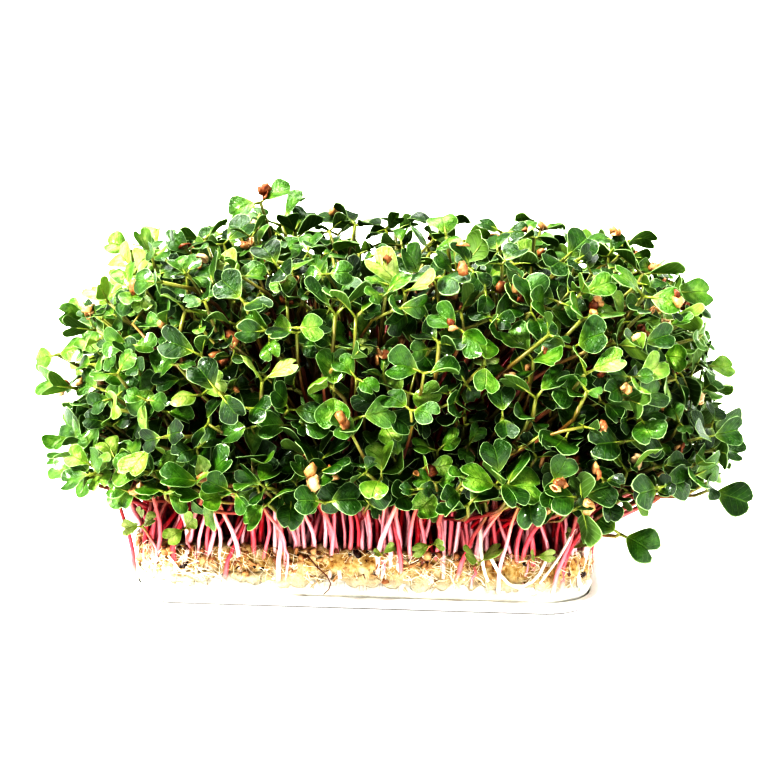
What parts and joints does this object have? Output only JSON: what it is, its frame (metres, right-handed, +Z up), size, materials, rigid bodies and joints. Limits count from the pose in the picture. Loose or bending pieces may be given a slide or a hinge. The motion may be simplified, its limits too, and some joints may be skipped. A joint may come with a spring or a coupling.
{
  "type": "radish microgreens tray",
  "caption": "Dense block of radish microgreens with heart-shaped seed leaves on crimson stems, rooted in a felted mat on a white fibre pad in a low white tray.",
  "frame": {"origin": "middle of the tray's flat underside", "axes": "+Z up, +X along the tray's length, -Y towards the front"},
  "size_m": [0.2566, 0.177, 0.1415],
  "materials": {
    "tray_white": "satin",
    "pad_felt": "matte",
    "root_felt": "matte",
    "seedling_green": "satin"
  },
  "bodies": {
    "root": {"tray": "tray_white", "growing_pad": "pad_felt", "root_mat": "root_felt", "seedlings_01": "seedling_green", "seedlings_02": "seedling_green", "seedlings_03": "seedling_green", "seedlings_04": "seedling_green", "seedlings_05": "seedling_green", "seedlings_06": "seedling_green", "seedlings_07": "seedling_green", "seedlings_08": "seedling_green", "seedlings_09": "seedling_green", "seedlings_10": "seedling_green", "seedlings_11": "seedling_green", "seedlings_12": "seedling_green", "seedlings_13": "seedling_green", "seedlings_14": "seedling_green", "seedlings_15": "seedling_green", "seedlings_16": "seedling_green", "seedlings_17": "seedling_green", "seedlings_18": "seedling_green", "seedlings_19": "seedling_green", "seedlings_20": "seedling_green", "seedlings_21": "seedling_green", "seedlings_22": "seedling_green", "seedlings_23": "seedling_green", "seedlings_24": "seedling_green", "seedlings_25": "seedling_green", "seedlings_26": "seedling_green", "seedlings_27": "seedling_green", "seedlings_28": "seedling_green", "seedlings_29": "seedling_green", "seedlings_30": "seedling_green", "seedlings_31": "seedling_green", "seedlings_32": "seedling_green", "seedlings_33": "seedling_green", "seedlings_34": "seedling_green", "seedlings_35": "seedling_green", "seedlings_36": "seedling_green", "seedlings_37": "seedling_green", "seedlings_38": "seedling_green", "seedlings_39": "seedling_green", "seedlings_40": "seedling_green"}
  },
  "joints": []
}
